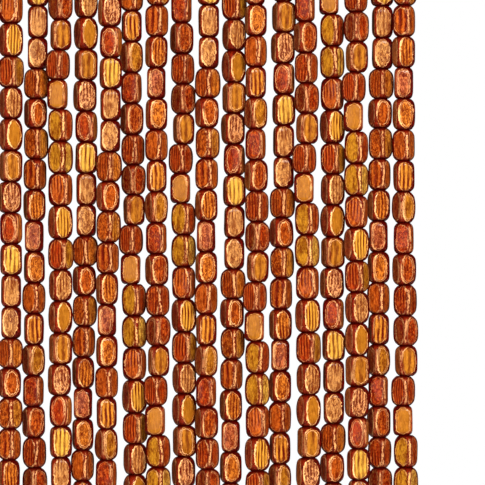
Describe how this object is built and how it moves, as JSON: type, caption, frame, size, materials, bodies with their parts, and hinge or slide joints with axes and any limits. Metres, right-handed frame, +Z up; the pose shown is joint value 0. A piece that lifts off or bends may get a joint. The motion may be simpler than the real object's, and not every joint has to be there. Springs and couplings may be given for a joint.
{
  "type": "bead curtain",
  "caption": "Cut length of bead curtain: strings of square lacquered wooden beads hanging side by side under a plain wooden heading.",
  "frame": {"origin": "middle of the heading's top face, where the curtain is fixed", "axes": "+Z up, along the strands; +X along the heading, to the right as seen from the front; the front faces -Y"},
  "size_m": [0.204, 0.0192, 0.3511],
  "materials": {
    "bead_wood": "lacquered, semi-gloss",
    "heading_wood": "lacquered, satin"
  },
  "bodies": {
    "root": {"bead_strands": "bead_wood", "heading_lath": "heading_wood"}
  },
  "joints": []
}
